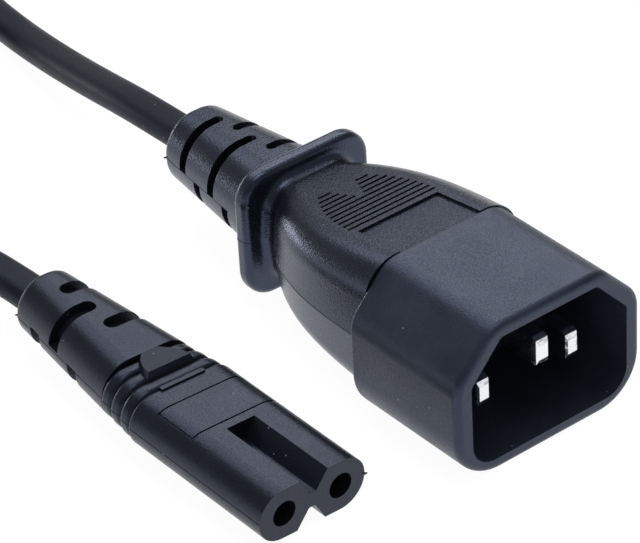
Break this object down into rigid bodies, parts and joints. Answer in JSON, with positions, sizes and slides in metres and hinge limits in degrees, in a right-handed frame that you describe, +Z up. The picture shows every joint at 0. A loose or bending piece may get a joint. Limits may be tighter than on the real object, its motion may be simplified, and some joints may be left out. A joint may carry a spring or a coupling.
{
  "type": "figure eight power connector lead",
  "caption": "Mains lead with a shrouded inline plug at one end and a figure eight connector at the other, both moulded with slotted strain reliefs onto a flat cord.",
  "frame": {"origin": "middle of the plug shroud's flat underside, which stands on the surface", "axes": "+X along the plug's axis, out of its mouth; +Y across the blades; +Z up"},
  "size_m": [0.2105, 0.0774, 0.0206],
  "materials": {
    "moulding_pvc": "soft black PVC with a fine moulded grain",
    "shroud_plastic": "smooth black plastic",
    "cord_pvc": "soft black PVC sheath",
    "nickel_plate": "bright nickel plate",
    "insert_plastic": "stiff black insert plastic",
    "core_brown": "brown core insulation",
    "core_blue": "blue core insulation",
    "copper_strand": "bare copper strands",
    "contact_brass": "sprung brass"
  },
  "bodies": {
    "root": {"plug_overmould": "moulding_pvc", "plug_shroud": "shroud_plastic", "pin_line": "nickel_plate", "pin_neutral": "nickel_plate", "pin_earth": "nickel_plate", "pin_carrier": "insert_plastic", "plug_core_brown": "core_brown", "plug_core_blue": "core_blue", "plug_strands_brown": "copper_strand", "plug_strands_blue": "copper_strand", "connector_overmould": "moulding_pvc", "contact_carrier": "insert_plastic", "contact_line": "contact_brass", "contact_neutral": "contact_brass", "connector_core_brown": "core_brown", "connector_core_blue": "core_blue", "connector_strands_brown": "copper_strand", "connector_strands_blue": "copper_strand", "cord_run_plug": "cord_pvc", "cord_run_connector": "cord_pvc", "cord_coil": "cord_pvc"}
  },
  "joints": []
}
